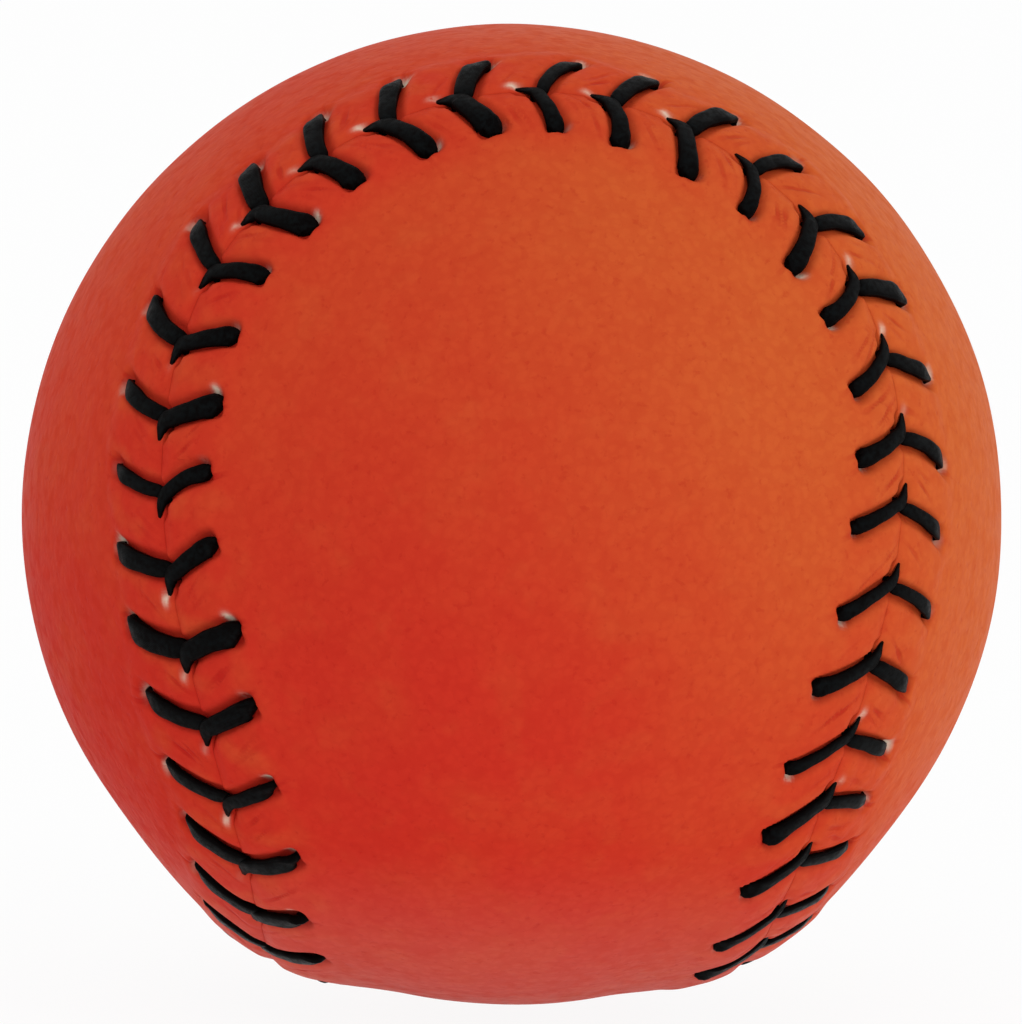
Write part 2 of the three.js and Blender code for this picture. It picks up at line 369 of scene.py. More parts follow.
floor_paper, tree, shader = new_material("floor_paper")
shader.inputs["Base Color"].default_value = (0.93, 0.93, 0.93, 1)
shader.inputs["Roughness"].default_value = 0.9
glow = add_node(tree, "ShaderNodeEmission", {"Color": (1, 1, 1, 1), "Strength": 1.0})
layers = {0: seen_directly(tree, FLAT_WHITE_SHARE), 1: shader.outputs[0], 2: glow.outputs[0]}
mixed = add_node(tree, "ShaderNodeMixShader", layers)
tree.links.new(mixed.outputs[0], tree.nodes["Material Output"].inputs["Surface"])
floor_mesh.materials.append(floor_paper)
print(f"floor at {FLOOR_Z / MM:.1f} mm")

# %% World and lamps
ROOM_LIGHT = 0.82
KEY_LAMP = {"place": (1.5, -1.5, 1.0), "size": 0.9, "watts": 6.3}
FRONT_LAMP = {"place": (-0.5, -1.9, 1.6), "size": 1.2, "watts": 4.7}
TABLE_LAMP = {"place": (0.17, 0, FLOOR_Z + FLOOR_GAP / 2), "size": 0.4, "watts": 0.095}

world = bpy.data.worlds.new("white_room")
bpy.context.scene.world = world
world.use_nodes = True
tree = world.node_tree
strength = plus(tree, seen_directly(tree, 1 - ROOM_LIGHT), ROOM_LIGHT)
tree.links.new(strength, tree.nodes["Background"].inputs["Strength"])
tree.nodes["Background"].inputs["Color"].default_value = (1, 1, 1, 1)


def soft_lamp(name, place, size, watts):
    data = bpy.data.lights.new(name, "AREA")
    data.shape = "DISK"
    data.size = size
    data.energy = watts
    lamp = bpy.data.objects.new(name, data)
    lamp.location = place
    lamp.rotation_euler = (-Vector(place)).to_track_quat("-Z", "Y").to_euler()
    bpy.context.collection.objects.link(lamp)
    return lamp


soft_lamp("key_lamp", **KEY_LAMP)
soft_lamp("front_lamp", **FRONT_LAMP)
table_lamp = soft_lamp("table_lamp", **TABLE_LAMP)
table_lamp.rotation_euler = (math.pi, 0, 0)
table_lamp.visible_camera = False
bpy.context.scene.view_settings.view_transform = "Standard"
print("lamps and room set")

# %% [markdown]
# ## Stitches
# The panels are sewn by hand, so no two stitches are quite alike. Copies of one stitch would look
# stamped, so one table holds each stitch: its point on the seam and, for each panel, where the
# needle went in, how wide the thread lies and where the leg meets the seam. The sewing hand pulls
# a little to one side, so round the ball the legs lean more on one panel and then on the other.
# Under the ball the stitches stand a little further apart. The leather and the thread both read
# this table, so they always fit each other.

# %% The stitch table
STITCH_COUNT = 70
STITCH_PITCH = SEAM_LENGTH / STITCH_COUNT
STITCH_LEAN, LEAN_SWING, LEAN_FROM = 1.58, 0.50, 20.0
HOLE_INSET = {FRONT: 3.30, SIDE: 4.25}
LEG_ENDS = {FRONT: 0.05, SIDE: -0.25}
LEG_BOW = {FRONT: -0.06, SIDE: 0.12}
LEG_WIDTH, WIDTH_SWING, WIDEST_AT = 1.18, 0.13, 110.0
END_TAPER = {FRONT: (0.96, 1.12), SIDE: (0.55, 1.0)}
TORN_SIDE = {FRONT: (-0.70, -0.25), SIDE: (-0.35, 0.35)}
SPREAD_AT = (7.7, 12.0, 22.0, 126.0, 137.0, 147.6, 151.8)
SPREAD_BY = (-2.6, -0.9, 0.0, 0.0, 0.7, 2.5, 5.4)
NARROWEST, WIDEST = 0.78, 1.25

chance = np.random.default_rng(18)


def by_hand(spread):
    """What the hand adds to each stitch by chance, mostly less than the spread."""
    return chance.normal(0, spread, STITCH_COUNT)


def twice_round(start):
    """A slow swing from 1 to -1 and back, twice round the seam, that is 1 at the start."""
    return np.cos(4 * np.pi * (stitch_point - start) / SEAM_LENGTH)


stitch_point = (np.arange(STITCH_COUNT) + 0.5) * STITCH_PITCH
stitch_point += by_hand(0.13)
stitch_point += np.interp(stitch_point, SPREAD_AT, SPREAD_BY, period=SEAM_LENGTH)
stitch_width = LEG_WIDTH * (1 + WIDTH_SWING * twice_round(WIDEST_AT))
stitch_width *= np.clip(1 + by_hand(0.10), NARROWEST, WIDEST)
legs = {}
for panel in (FRONT, SIDE):
    lean = STITCH_LEAN + panel * LEAN_SWING * twice_round(LEAN_FROM)
    legs[panel] = {
        "hole": stitch_point - lean + by_hand(0.20),
        "inset": HOLE_INSET[panel] + by_hand(0.18),
        "end": stitch_point + LEG_ENDS[panel],
        "bow": LEG_BOW[panel] + by_hand(0.10),
        "width": stitch_width * (1 + by_hand(0.07)),
        "taper": chance.uniform(*END_TAPER[panel], STITCH_COUNT),
        "raw_side": chance.uniform(*TORN_SIDE[panel], STITCH_COUNT),
        "raw": chance.uniform(0.0, 1.0, STITCH_COUNT),
    }
print(f"{STITCH_COUNT} stitches, {STITCH_PITCH:.2f} mm apart")

# %% [markdown]
# ## Leather: the shape of the surface
# The cover is stretched over the core, and the stitches pull it into a raised ridge. Each leg presses a
# bed, each needle hole a pit, and between the legs the leather stands up in a soft pad with a few creases
# where the pull runs through it. It could be sculpted by hand, or bumped in the material only. Here it is
# real height, added up as one function of the two seam distances, so that it follows every stitch of the
# table and the outline has it too.

# %% Ridge, lumps and creases
RIDGE_HEIGHT, RIDGE_CROWN = 0.88, 1.0
RIDGE_FOOT = {FRONT: 8.5, SIDE: 16.0}
RIDGE_FALL = {FRONT: 1.0, SIDE: 1.6}
CREASES = 3
CREASE_RANGES = {
    "crease_from": (0.38, 0.66),
    "crease_back": (0.04, 0.24),
    "crease_near": (0.1, 1.6),
    "crease_long": (1.1, 2.3),
    "crease_deep": (0.0, 1.0),
    "pull_side": (-0.6, 0.6),
    "pull_long": (0.5, 1.5),
    "pull_deep": (0.0, 1.0),
}
MOSTLY_SHALLOW = {"crease_deep": 1.3, "pull_deep": 1.5}
LUMPS = 12
BROAD_LUMPS, FINE_LUMPS = range(LUMPS), range(LUMPS, 2 * LUMPS)
BROAD_LENGTHS, FINE_LENGTHS = (7, 16), (1.8, 3.6)


def ridge(panel, inset):
    """The stitches lift the side panel over a wide band and the front panel over a narrow one."""
    return RIDGE_HEIGHT * (1 - smooth(inset, RIDGE_CROWN, RIDGE_FOOT[panel])) ** RIDGE_FALL[panel]


for panel in (FRONT, SIDE):
    for label, ends in CREASE_RANGES.items():
        drawn = chance.uniform(*ends, (CREASES, STITCH_COUNT))
        legs[panel][label] = drawn ** MOSTLY_SHALLOW.get(label, 1)

wave_ways = unit(chance.normal(size=(2 * LUMPS, 3)))
wave_lengths = [chance.uniform(*ends, LUMPS) for ends in (BROAD_LENGTHS, FINE_LENGTHS)]
wave_lengths = np.concatenate(wave_lengths)
wave_starts = chance.uniform(0, 2 * np.pi, 2 * LUMPS)


def unevenness(dirs, waves):
    """Gentle lumps: a sum of plane waves through the ball, about 1 high at most."""
    total = np.zeros(dirs.shape[:-1])
    for i in waves:
        phase = dirs @ wave_ways[i] * BALL_RADIUS * 2 * np.pi / wave_lengths[i]
        total += np.sin(phase + wave_starts[i])
    return total / np.sqrt(len(waves)) / 1.5


print(f"ridge {RIDGE_HEIGHT} mm high, {CREASES} creases by each leg")

# %% The bed of a leg
BED_DEPTH, DEEPER_AT_HOLE, DEEPER_AT_SEAM = 0.33, 0.24, 0.14


def panel_stretch(panel, along, inset):
    """How long a step along the seam is at this inset, where the seam bends."""
    across = inset / BALL_RADIUS
    return np.cos(across) - panel * along_seam(seam_bend, along) * BALL_RADIUS * np.sin(across)


def from_leg(panel, i, along, inset):
    """The leg's line at each point, how far the point is beside it and how far beyond its hole."""
    table = legs[panel]
    hole, end, hole_inset = table["hole"][i], table["end"][i], table["inset"][i]
    stretch = panel_stretch(panel, along, inset)
    lean = seam_difference(hole, end)
    length = np.hypot(lean * stretch, hole_inset)
    up_leg = inset / hole_inset
    line = end + lean * up_leg + table["bow"][i] * np.sin(np.pi * np.minimum(up_leg, 1))
    beside = seam_difference(along, line) * stretch * hole_inset / length
    past_hole = seam_difference(along, hole) * stretch
    beyond = (past_hole * lean * stretch + (inset - hole_inset) * hole_inset) / length
    return line, beside, beyond


def leg_bed(beside, beyond, inset, width):
    """How far off the leg a point is, and the bed it presses, deepest at the hole and the seam."""
    distance = (np.abs(beside) ** 5 + np.maximum(beyond + 0.28, 0) ** 5) ** 0.2
    deep = BED_DEPTH + DEEPER_AT_HOLE * hump(beyond, 0.05, 0.5) + DEEPER_AT_SEAM * hump(inset, 0, 0.7)
    slope = 0.28 + 0.30 * smooth(-beside, 0, 0.5)
    return distance, deep * (1 - smooth(distance, 0.40 * width, 0.5 * width + slope))


print(f"by its hole a leg lies {leg_bed(0.0, 0.0, HOLE_INSET[FRONT], LEG_WIDTH)[1]:.2f} mm deep")

# %% Furrows, tufts and tails
TUFT_WIDTH = {FRONT: 0.20, SIDE: 0.34}


def drawn_furrow(beside, beyond, torn, torn_side):
    """Past the hole the leather is drawn into a short furrow, which the finish paints deep red as painted
    shade.
    """
    reach = smooth(beyond, 0.1, 0.35) * (1 - smooth(beyond, 0.5, 0.8 + torn))
    return reach * hump(beside, 0.3 * torn_side, 0.3) * (1 - torn)


def hole_tuft(panel, beside, beyond, width, torn, torn_side):
    """Pale torn fibre in a small tuft at the end of the leg."""
    wide = hump(beside, torn_side * width, TUFT_WIDTH[panel] * width)
    return 2.3 * torn**1.5 * hump(beyond, 0.18, 0.22) * wide


def tail_groove(panel, past, inset):
    """Past the seam the front leg's tail lies in a groove, mostly of the side panel."""
    tail_inset = np.clip(0.45 * past, 0, 0.45) if panel == SIDE else 0.0
    run = smooth(past, -0.4, 0.2) * (1 - smooth(past, 0.9, 1.6))
    return run * hump(inset, tail_inset, 0.36)


def tail_tuft(past, inset, torn, torn_side):
    """The leather tears a little where the tail goes down."""
    tuft = hump(past, 1.35, 0.36) * hump(inset, 0.5 - 0.4 * torn_side, 0.17)
    return 1.8 * np.clip(torn - 0.45, 0, 1) * tuft


print(np.sum(legs[FRONT]["raw"] > 0.5), "of the front holes are well torn")

# %% Folds between and past the stitches
FOLD_REACH = 0.45
NO_FOLD = (1e-4, 0.5, 0.0)


def deeper_fold(fold, off, deep):
    """Of two folds, the one that is felt more at each point, how far off it is and how deep."""
    felt = deep * hump(off, 0, FOLD_REACH)
    return [np.where(felt > fold[0], new, old) for new, old in zip((felt, off, deep), fold)]


def pad_crease(panel, i, n, along, inset, line):
    """One crease that runs through the pad beside a leg."""
    table = legs[panel]
    near, run = table["crease_near"][n, i], table["crease_long"][n, i]
    t = np.clip((inset - near) / run, 0, 1)
    start = table["crease_from"][n, i]
    stop = start - table["crease_back"][n, i]
    middle = line + (start + t * (stop - start)) * STITCH_PITCH
    off = seam_difference(along, middle) * panel_stretch(panel, along, inset) * 0.8
    deep = hump(inset, near + t * run, 0.2) * np.sin(np.pi * np.clip(t, 0.12, 0.88))
    return off, deep * table["crease_deep"][n, i]


def pull_mark(panel, i, n, beside, beyond):
    """One of the short marks that fan out past a needle hole."""
    table = legs[panel]
    run = table["pull_long"][n, i]
    off = beside - table["pull_side"][n, i] * (1 + 0.4 * beyond)
    deep = smooth(beyond, 0.1, 0.45) * (1 - smooth(beyond, 0.4 * run, run + 0.4))
    return off, deep * table["pull_deep"][n, i]


print(f"a fold is felt about {FOLD_REACH} mm to each side")

# %% The pull of the nearest stitches
FAR_OFF = 9.0


def pulled_by_stitches(panel, along, inset):
    """All that the three nearest stitches do at each point."""
    table = legs[panel]
    nearest = np.searchsorted(stitch_point, np.mod(along, SEAM_LENGTH))
    bed, furrow, raw, tail = np.zeros((4, *along.shape))
    closest = np.full_like(along, FAR_OFF)
    fold = [np.full_like(along, level) for level in NO_FOLD]
    for shift in (-1, 0, 1):
        i = np.mod(nearest + shift, STITCH_COUNT)
        width, torn, torn_side = table["width"][i], table["raw"][i], table["raw_side"][i]
        line, beside, beyond = from_leg(panel, i, along, inset)
        distance, pressed = leg_bed(beside, beyond, inset, width)
        bed = np.maximum(bed, pressed)
        closest = np.minimum(closest, distance)
        furrow = np.maximum(furrow, drawn_furrow(beside, beyond, torn, torn_side))
        raw = np.maximum(raw, hole_tuft(panel, beside, beyond, width, torn, torn_side))
        past = seam_difference(along, stitch_point[i])
        tail = np.maximum(tail, tail_groove(panel, past, inset))
        if panel == SIDE:
            raw = np.maximum(raw, tail_tuft(past, inset, torn, torn_side))
        for n in range(CREASES):
            fold = deeper_fold(fold, *pad_crease(panel, i, n, along, inset, line))
            fold = deeper_fold(fold, *pull_mark(panel, i, n, beside, beyond))
    return bed, furrow, np.clip(raw, 0, 1), tail, closest, np.abs(fold[1]), fold[2]


along = np.arange(0, SEAM_LENGTH)
halfway = np.full_like(along, HOLE_INSET[FRONT] / 2)
pressed = pulled_by_stitches(FRONT, along, halfway)[0] > BED_DEPTH / 2
print(f"halfway up the front legs {np.mean(pressed):.0%} of the leather is pressed down")

# %% Height of the leather
LEATHER_THICKNESS = 1.3
PAD_RISE, LUMP_RISE, FINE_LUMP_RISE = 0.18, 0.05, 0.04
EDGE_ROUND, EDGE_DROP = 0.30, 0.055
FOLD_DEPTH, FURROW_DEPTH, TAIL_DEPTH = 0.07, 0.07, 0.40


def leather_relief(panel, along, inset, dirs):
    """Height over the plain ball, and marks for the finish: how pressed the leather is, which the finish
    paints deep red as painted shade; where it is torn to raw fibre; how far off the nearest fold is and
    how deep, which the finish paints as a deep red line of painted shade; and where a highlight is
    painted on the crowns of the pads."""
    bed, furrow, raw, tail, closest, fold_off, fold_deep = pulled_by_stitches(panel, along, inset)
    round_off = np.clip(1 - inset / EDGE_ROUND, 0, 1)
    edge_drop = EDGE_DROP * (1 - np.sqrt(1 - round_off**2 * 0.98))
    broad, fine = unevenness(dirs, BROAD_LUMPS), unevenness(dirs, FINE_LUMPS)
    hole_line = HOLE_INSET[panel]
    puffed = smooth(closest, 0.45, 1.6) * smooth(inset, 0.0, 0.9)
    puffed *= 1 - smooth(inset - 0.9 * broad, hole_line - 0.4, hole_line + 1.3)
    height = ridge(panel, inset) + PAD_RISE * puffed + LUMP_RISE * broad
    height += FINE_LUMP_RISE * fine * (1 - smooth(inset, 4.0, 7.0))
    height -= bed + edge_drop + TAIL_DEPTH * tail + FURROW_DEPTH * furrow
    height -= FOLD_DEPTH * fold_deep * hump(fold_off, 0, 0.2)
    # The bed, the furrow and the seam edge make the pressed mark, which the finish paints deep red as
    # painted shade.
    pressed = np.clip(0.9 * bed + 0.6 * furrow + 0.2 * hump(inset, 0, 0.2), 0, 1)
    # A painted highlight: the crowns of the fine lumps on the pads by the seam are marked to be painted
    # paler orange.
    highlight_patches = smooth(fine, -0.2, 0.8) * smooth(closest, 0.5, 1.0) * (1 - smooth(inset, 3.5, 6.0))
    return height, [pressed, raw, fold_off, fold_deep, highlight_patches]


height = leather_relief(FRONT, along, halfway, on_ball(along, halfway))[0]
print(f"there the leather is {height.min():.2f} to {height.max():.2f} mm above the plain ball")

# %% [markdown]
# ## Leather: the mesh
# Each panel is one piece of hide with a cut edge. A subdivided sphere would spread its points
# evenly and waste most of them on the bare lobes. So rings of points follow the seam closely where
# the stitches are, and thin out away from it. Inside the ridge, rows of points run straight across
# the panel. The same rings, few of them, make the flesh side under it, and the cut edge joins the
# two, so each panel is one closed body.

# %% Faces between lines of points


def strip(near, far, closed=True):
    """Triangles between two lines of points, which may have different counts."""
    ends = 1 if closed else 0
    n, m = len(near) - 1 + ends, len(far) - 1 + ends
    faces = []
    i = j = 0
    while i < n or j < m:
        a, b = near[i % len(near)], far[j % len(far)]
        if j >= m or (i < n and (i + 1) * m <= (j + 1) * n):
            faces.append((a, near[(i + 1) % len(near)], b))
            i += 1
        else:
            faces.append((a, far[(j + 1) % len(far)], b))
            j += 1
    return faces


def quads(near, far):
    """Four-sided faces between two rings of the same count."""
    return np.column_stack([near, np.roll(near, -1), np.roll(far, -1), far]).tolist()


print("between rings of 4 and 8 points:", len(strip(range(4), range(4, 12))), "triangles")

# %% Rings of a panel
FINE_POINTS, COARSE_POINTS, UNDER_POINTS = 1820, 910, 182
HALF_GAP = 0.006
FINE_INSETS = np.concatenate([[HALF_GAP, 0.09], np.arange(0.2, 6.4, 0.175)])
PANEL_FLANK = 10.5
FLANK_INSETS = np.array([6.6, 6.95, 7.4, 7.95, 8.6, 9.3, 9.9, PANEL_FLANK])
UNDER_INSETS = np.array([1.5, 4.5, 7.5, PANEL_FLANK])
DEEPEST_BED = 0.85 * LEATHER_THICKNESS
NEAR_SEAM = (2.5, 7.0)
MARKS = ("pressed", "raw_fibre", "fold_off", "fold_deep", "highlight_patches", "near_seam")


class Shell:
    """Vertices and faces of one panel, collected ring by ring."""

    def __init__(self, panel, tip):
        self.panel, self.tip = panel, tip
        self.points, self.marks, self.faces = [], [], []
        self.count = 0

    def add(self, dirs, height, marks=None):
        ids = np.arange(self.count, self.count + len(dirs))
        self.points.append(dirs * (BALL_RADIUS + height)[:, None])
        bare = np.zeros((len(dirs), len(MARKS)))
        self.marks.append(bare if marks is None else np.column_stack(marks))
        self.count += len(dirs)
        return ids

    def ring(self, inset, count, under=0.0):
        along = self.tip + (np.arange(count) + 0.5) * SEAM_LENGTH / count
        insets = np.full(count, inset)
        dirs = on_ball(along, self.panel * insets)
        raised = ridge(self.panel, insets)
        if under:
            return self.add(dirs, raised - under)
        height, marks = leather_relief(self.panel, along, insets, dirs)
        near_seam = 1 - smooth(insets, *NEAR_SEAM)
        return self.add(dirs, np.maximum(height, raised - DEEPEST_BED), [*marks, near_seam])

    def lay(self, faces, under=0.0):
        """Keeps faces, and turns round those that would point into the leather."""
        turned = (self.panel == SIDE) != bool(under)
        self.faces += [face[::-1] for face in faces] if turned else faces

    def band(self, insets, count, under=0.0, start=None):
        """Rings one after another, each joined to the one before it."""
        rings = [self.ring(inset, count, under) for inset in insets]
        if start is not None:
            self.lay(strip(start, rings[0]), under)
        for near, far in zip(rings, rings[1:]):
            self.lay(quads(near, far), under)
        return rings

    def mesh(self, name):
        mesh = bpy.data.meshes.new(name)
        mesh.from_pydata((np.concatenate(self.points) * MM).tolist(), [], self.faces)
        marks = np.concatenate(self.marks).astype(np.float32)
        for label, values in zip(MARKS, marks.T):
            layer = mesh.attributes.new(label, "FLOAT", "POINT")
            layer.data.foreach_set("value", np.ascontiguousarray(values))
        mesh.shade_smooth()
        return mesh


print(f"a panel has {len(FINE_INSETS)} fine rings and {len(FLANK_INSETS)} on its flank")

# %% Rows across the middle of a panel
ROW_STEP, UNDER_ROW_STEP = 0.75, 4.0


def fill_middle(shell, foot, under=0.0, step=ROW_STEP):
    """Fills the panel inside its foot ring with rows of points from side to side."""
    placed = np.concatenate(shell.points)
    half = len(foot) // 2
    rows = []
    for k in range(half):
        left, right = foot[k], foot[len(foot) - 1 - k]
        a, b = unit(placed[left]), unit(placed[right])
        angle = math.acos(np.clip(a @ b, -1, 1))
        ends = k in (0, half - 1)
        count = 1 if ends else max(1, round(angle * BALL_RADIUS / step))
        f = np.arange(1, count)[:, None] / count
        dirs = (np.sin((1 - f) * angle) * a + np.sin(f * angle) * b) / math.sin(angle)
        height = ridge(shell.panel, seam_distance(dirs)) - under
        height += 0.0 if under else LUMP_RISE * unevenness(dirs, BROAD_LUMPS)
        rows.append(np.concatenate([[left], shell.add(dirs, height), [right]]))
    for near, far in zip(rows[1:], rows):
        shell.lay(strip(near, far, closed=False), under)


print(f"rows run across in steps of about {ROW_STEP} mm")

# %% Panel pieces


def leather_panel(name, panel, tip):
    shell = Shell(panel, tip)
    fine = shell.band(FINE_INSETS, FINE_POINTS)
    flank = shell.band(FLANK_INSETS, COARSE_POINTS, start=fine[-1])
    fill_middle(shell, flank[-1])
    lip = shell.ring(HALF_GAP, FINE_POINTS, under=LEATHER_THICKNESS)
    shell.lay(quads(lip, fine[0]))
    under = shell.band(UNDER_INSETS, UNDER_POINTS, under=LEATHER_THICKNESS, start=lip)
    fill_middle(shell, under[-1], under=LEATHER_THICKNESS, step=UNDER_ROW_STEP)
    piece = bpy.data.objects.new(name, shell.mesh(name))
    bpy.context.collection.objects.link(piece)
    print(name, len(piece.data.vertices), "points", len(piece.data.polygons), "faces")
    return piece


front_leather = leather_panel("front_leather", FRONT, SEAM_LENGTH / 4)
side_leather = leather_panel("side_leather", SIDE, 0.0)

# %% [markdown]
# ## Leather: the finish
# The hide is dyed through in a strong red. Towards one side and a little upward it turns orange. It has a
# satin surface, a fine pebble grain and small pores. The creases and the places where the thread presses
# are painted deeper red, as painted shade. The crowns of the pads get a painted highlight of paler
# orange. The underside is painted paler, as a painted reflection of the white floor. Torn fibre at the
# needle holes is nearly bare. A painted picture would need unwrapping and show its seams. Colour and
# roughness come instead from the mesh's own attributes and from noise on Object coordinates, so they stay
# with the ball.

# %% Leather colour, with a painted highlight and a painted floor reflection
DYE_RED = (0.575, 0.030, 0.016, 1)
LEATHER_ORANGE = (0.625, 0.130, 0.027, 1)
# Deep red for the grain, pores and specks, and for the painted shade in creases and beds.
DEEP_DYE_AND_SHADE = (0.400, 0.006, 0.007, 1)
# The paler orange of the painted highlight on the pads.
HIGHLIGHT_ORANGE = (0.640, 0.175, 0.040, 1)
# Pale raw fibre. The same pale colour paints the reflection of the floor on the underside.
RAW_FIBRE_AND_REFLECTION = (0.80, 0.66, 0.52, 1)
ORANGE_WAY = Vector((0.82, 0.0, 0.32)) / (BALL_RADIUS * MM)
RED_TO_ORANGE, ORANGE_CURVE = (-0.45, 0.90), 1.8
DYE_DRIFT, SEAM_DRIFT = 0.12, 0.15
UPWARD_FROM_TO = (-0.35 * BALL_RADIUS * MM, 0.70 * BALL_RADIUS * MM)
CROWN_FROM_TO = (0.75 * BALL_RADIUS * MM, BALL_RADIUS * MM)
REFLECTION_FROM_TO = (-BALL_RADIUS * MM, -0.55 * BALL_RADIUS * MM)
UPWARD_SHARE, REFLECTION_SHARE = 0.25, 0.12

leather, tree, shader, place = ball_material("dyed_leather", shine=0.016)
# The leather turns from red to orange towards one side and a little upward.
lean = add_node(tree, "ShaderNodeVectorMath", {0: place, 1: ORANGE_WAY}, operation="DOT_PRODUCT")
drift = minus(tree, patches(tree, place, size=13, low=0.2, high=0.8), 0.5)
drift = times(tree, drift, DYE_DRIFT)
near_seam = attribute(tree, "near_seam")
where = plus(tree, lean.outputs["Value"], drift)
where = minus(tree, where, times(tree, near_seam, SEAM_DRIFT))
orange_share = calculate(tree, "POWER", remap(tree, where, *RED_TO_ORANGE), ORANGE_CURVE)
colour = mix_colour(tree, orange_share, DYE_RED, LEATHER_ORANGE)

# It turns more orange again upward, less so at the very top and by the seam.
height = add_node(tree, "ShaderNodeSeparateXYZ", {0: place}).outputs["Z"]
upward_orange = remap(tree, height, *UPWARD_FROM_TO, 0.0, UPWARD_SHARE)
upward_orange = times(tree, upward_orange, remap(tree, height, *CROWN_FROM_TO, 1.0, 0.4))
upward_orange = times(tree, upward_orange, remap(tree, near_seam, 0.0, 1.0, 1.0, 0.3))
colour = mix_colour(tree, upward_orange, colour, LEATHER_ORANGE)
blotch = patches(tree, place, size=7, low=0.40, high=0.70)
colour = stained_and_shaded(tree, colour, blotch, 0.09, LEATHER_ORANGE)

# Paler orange patches and pad crowns: a painted highlight.
highlight_patches = times(tree, patches(tree, place, size=2.6, low=0.50, high=0.72), 0.06)
highlight_patches = plus(tree, highlight_patches, times(tree, attribute(tree, "highlight_patches"), 0.12))
colour = mix_colour(tree, highlight_patches, colour, HIGHLIGHT_ORANGE)
# The underside is painted paler towards the raw fibre colour: a painted reflection of the white floor.
painted_floor_reflection = remap(tree, height, *REFLECTION_FROM_TO, REFLECTION_SHARE, 0.0)
colour = mix_colour(tree, painted_floor_reflection, colour, RAW_FIBRE_AND_REFLECTION)
print("leather dyed")

# %% Leather grain and creases, with painted shade in the creases and beds
PEBBLE, PEBBLE_WARP = 0.6, 0.9
WANDER, FOLD_LINE = (-0.04, 0.06), (0.06, 0.22)

bent = scaled(tree, noise(tree, place, per_mm(PEBBLE_WARP), 2.0)["Color"], PEBBLE_WARP * MM)
bent = add_node(tree, "ShaderNodeVectorMath", {0: place, 1: bent}, operation="ADD").outputs[0]
cells = {"Vector": bent, "Scale": per_mm(PEBBLE), "Smoothness": 0.4}
pebble = add_node(tree, "ShaderNodeTexVoronoi", cells, feature="SMOOTH_F1").outputs["Distance"]
colour = mix_colour(tree, remap(tree, pebble, 0.30, 0.65, 0.0, 0.11), colour, DEEP_DYE_AND_SHADE)
speck = patches(tree, place, size=1.2, low=0.40, high=0.72)
colour = stained_and_shaded(tree, colour, speck, 0.10, DEEP_DYE_AND_SHADE)
pore = patches(tree, place, size=0.5, low=0.60, high=0.72)
colour = stained_and_shaded(tree, colour, pore, 0.18, DEEP_DYE_AND_SHADE)
# Where the leather is pressed in, it is painted deep red as painted shade.
colour = stained_and_shaded(tree, colour, attribute(tree, "pressed"), 0.8, DEEP_DYE_AND_SHADE)

wander = remap(tree, noise(tree, place, per_mm(1.0), 1.0)["Fac"], 0.25, 0.75, *WANDER)
# The fold lines are painted deep red too: painted shade in the creases.
fold = remap(tree, plus(tree, attribute(tree, "fold_off"), wander), *FOLD_LINE, 1.0, 0.0)
fold = times(tree, fold, attribute(tree, "fold_deep"))
colour = stained_and_shaded(tree, colour, fold, 0.55, DEEP_DYE_AND_SHADE)
wisps = patches(tree, place, size=0.6, low=0.22, high=0.48)
raw = times(tree, attribute(tree, "raw_fibre"), wisps)
colour = mix_colour(tree, raw, colour, RAW_FIBRE_AND_REFLECTION)

grain = minus(tree, 1.0, plus(tree, pebble, times(tree, pore, 0.6)))
grain = minus(tree, grain, times(tree, fold, 2.5))
satin = remap(tree, speck, 0.0, 1.0, 0.50, 0.62)
satin = calculate(tree, "MAXIMUM", satin, times(tree, raw, 0.85))
dress(tree, shader, colour, satin, grain, strength=0.5, depth=0.055)
for piece in (front_leather, side_leather):
    piece.data.materials.append(leather)
print("leather grained")

# %% [markdown]
# ## Thread: the way it runs
# Two waxed threads sew the ball. Each comes up through a hole of one panel, lies over the leather
# to the seam, goes down between the edges and runs under the other panel to that panel's next
# hole. Copies of one stitch along the seam would leave the thread in bits, so the route is a smooth
# line through a few points of every stitch. Each point also has the thread's width, because the
# thread spreads on the leather and pinches in at the seam. Where the ball is set down, the
# stitches are pressed a little deeper.

# %% One stitch of thread
UNDER_DEPTH = -LEATHER_THICKNESS - 0.62
SUNK_END = {FRONT: 0.0, SIDE: 0.08}


def stitch_route(i, panel):
    """Along, inset and height over the ridge, and width, for one leg and its way down."""
    table = legs[panel]
    hole, inset, end = table["hole"][i], table["inset"][i], table["end"][i]
    point, width, taper = stitch_point[i], table["width"][i], table["taper"][i]
    sunk = SUNK_END[panel]

    def leg(share, height, wide):
        along = hole + (end - hole) * share + table["bow"][i] * math.sin(math.pi * share)
        return (along, inset * (1 - share), height, wide * width)

    route = [
        (hole - 0.05, inset + 0.06, UNDER_DEPTH, 0.85 * width),
        (hole, inset + 0.05, -0.95, 0.90 * width),
        (hole, inset + 0.04, -0.38, 1.0 * width * taper),
        leg(0.01, -0.13 - sunk, 1.08 * taper),
        leg(0.09, -0.02 - sunk, 0.5 + 0.55 * taper),
        leg(0.25, 0.03, 1.0),
        leg(0.55, 0.02, 0.92),
        leg(0.80, -0.02, 0.88),
    ]
    if panel == FRONT:
        return route + [
            leg(0.96, -0.05, 0.84),
            (point + 0.42, -0.16, -0.08, 0.64 * width),
            (point + 0.88, -0.34, -0.13, 0.36 * width),
            (point + 1.32, -0.48, -0.24, 0.17 * width),
            (point + 1.50, -0.48, -0.55, 0.14 * width),
            (point + 1.55, -0.40, -1.30, 0.40 * width),
        ]
    return route + [
        leg(0.94, -0.13, 0.80),
        (point + 0.10, 0.03, -0.45, 0.62 * width),
        (point + 0.35, -0.04, -1.20, 0.50 * width),
    ]


